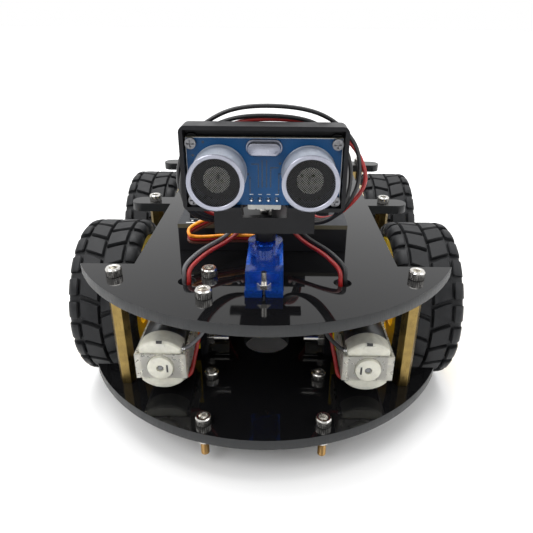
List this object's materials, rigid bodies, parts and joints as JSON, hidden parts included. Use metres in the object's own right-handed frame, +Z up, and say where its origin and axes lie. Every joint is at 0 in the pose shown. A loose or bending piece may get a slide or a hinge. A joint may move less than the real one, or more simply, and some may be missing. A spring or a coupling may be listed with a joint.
{
  "type": "robot car",
  "caption": "Small driving robot with two black decks on brass pillars, geared motors, chunky tyres and a panning ultrasonic distance sensor at the front.",
  "frame": {"origin": "on the ground under the middle of the car", "axes": "+X to the car's left-to-right side as seen from the front camera, +Y towards the car's rear, +Z up; the sensor faces -Y"},
  "size_m": [0.152, 0.192, 0.1189],
  "materials": {
    "deck_acrylic": "polished black acrylic with satin laser-cut edges",
    "brass": "machined",
    "steel": "nickel-plated",
    "bracket_acrylic": "polished black acrylic",
    "clear_plastic": "clear, slightly yellowed",
    "yellow_plastic": "moulded, satin",
    "motor_steel": "zinc-plated",
    "nylon": "natural nylon",
    "tyre": "moulded rubber",
    "servo_blue": "translucent blue",
    "black_plastic": "moulded, satin",
    "board_blue": "solder mask",
    "aluminium": "satin",
    "grille": "fine mesh",
    "header": "moulded",
    "board_black": "solder mask",
    "socket_metal": "plated",
    "red_plastic": "moulded",
    "cell_wrap": "shrink sleeve",
    "servo_wire": "three-strand ribbon",
    "black_wire": "vinyl",
    "red_wire": "vinyl"
  },
  "bodies": {
    "chassis": {"lower_deck": "deck_acrylic", "upper_deck": "deck_acrylic", "standoffs": "brass", "standoff_screws": "steel", "front_screws": "steel", "front_nuts": "steel", "deck_screws": "steel", "deck_nuts": "steel", "motor_brackets": "bracket_acrylic", "motor_screws": "steel", "motor_nuts": "steel", "motor_straps": "clear_plastic", "gearbox_fl": "yellow_plastic", "gearbox_fr": "yellow_plastic", "gearbox_rl": "yellow_plastic", "gearbox_rr": "yellow_plastic", "motor_can_fl": "motor_steel", "motor_can_fr": "motor_steel", "motor_can_rl": "motor_steel", "motor_can_rr": "motor_steel", "motor_cap_fl": "nylon", "motor_cap_fr": "nylon", "motor_cap_rl": "nylon", "motor_cap_rr": "nylon", "servo_case": "servo_blue", "servo_screws": "steel", "servo_nuts": "steel", "board_tray": "black_plastic", "controller_board": "board_black", "board_headers": "black_plastic", "board_sockets": "socket_metal", "battery_holder": "black_plastic", "battery_cells": "cell_wrap", "switch_body": "black_plastic", "servo_cable": "servo_wire", "sensor_cable": "black_wire", "power_leads": "red_wire"},
    "wheel_fl": {"drive_shaft_fl": "nylon", "wheel_rim_fl": "yellow_plastic", "tyre_fl": "tyre"},
    "wheel_fr": {"drive_shaft_fr": "nylon", "wheel_rim_fr": "yellow_plastic", "tyre_fr": "tyre"},
    "wheel_rl": {"drive_shaft_rl": "nylon", "wheel_rim_rl": "yellow_plastic", "tyre_rl": "tyre"},
    "wheel_rr": {"drive_shaft_rr": "nylon", "wheel_rim_rr": "yellow_plastic", "tyre_rr": "tyre"},
    "head": {"servo_horn": "black_plastic", "horn_screw": "steel", "sensor_bracket": "black_plastic", "sensor_board": "board_blue", "sensor_cans": "aluminium", "sensor_grilles": "grille", "crystal_can": "aluminium", "sensor_header": "header", "sensor_screws": "steel"},
    "reset_button": {"reset_button": "red_plastic"},
    "switch_rocker": {"switch_rocker": "red_plastic"}
  },
  "joints": [
    {"name": "wheel_fl_spin", "type": "hinge", "parent": "chassis", "child": "wheel_fl", "pos_m": [-0.036, -0.0235, 0.0325], "axis": [1, 0, 0], "continuous": true},
    {"name": "wheel_fr_spin", "type": "hinge", "parent": "chassis", "child": "wheel_fr", "pos_m": [0.036, -0.0235, 0.0325], "axis": [1, 0, 0], "continuous": true},
    {"name": "wheel_rl_spin", "type": "hinge", "parent": "chassis", "child": "wheel_rl", "pos_m": [-0.036, 0.0545, 0.0325], "axis": [1, 0, 0], "continuous": true},
    {"name": "wheel_rr_spin", "type": "hinge", "parent": "chassis", "child": "wheel_rr", "pos_m": [0.036, 0.0545, 0.0325], "axis": [1, 0, 0], "continuous": true},
    {"name": "head_pan", "type": "hinge", "parent": "chassis", "child": "head", "pos_m": [0, -0.0583, 0.08], "axis": [0, 0, 1], "range_deg": [-90, 90], "deforming": ["sensor_cable"]},
    {"name": "reset_press", "type": "slide", "parent": "chassis", "child": "reset_button", "axis": [0, 0, -1], "range_m": [0, 0.00025], "stiffness_N_per_m": 4000},
    {"name": "switch_tilt", "type": "hinge", "parent": "chassis", "child": "switch_rocker", "pos_m": [0.032, 0.026, 0.0627], "axis": [0, 1, 0], "range_deg": [0, 24]}
  ]
}
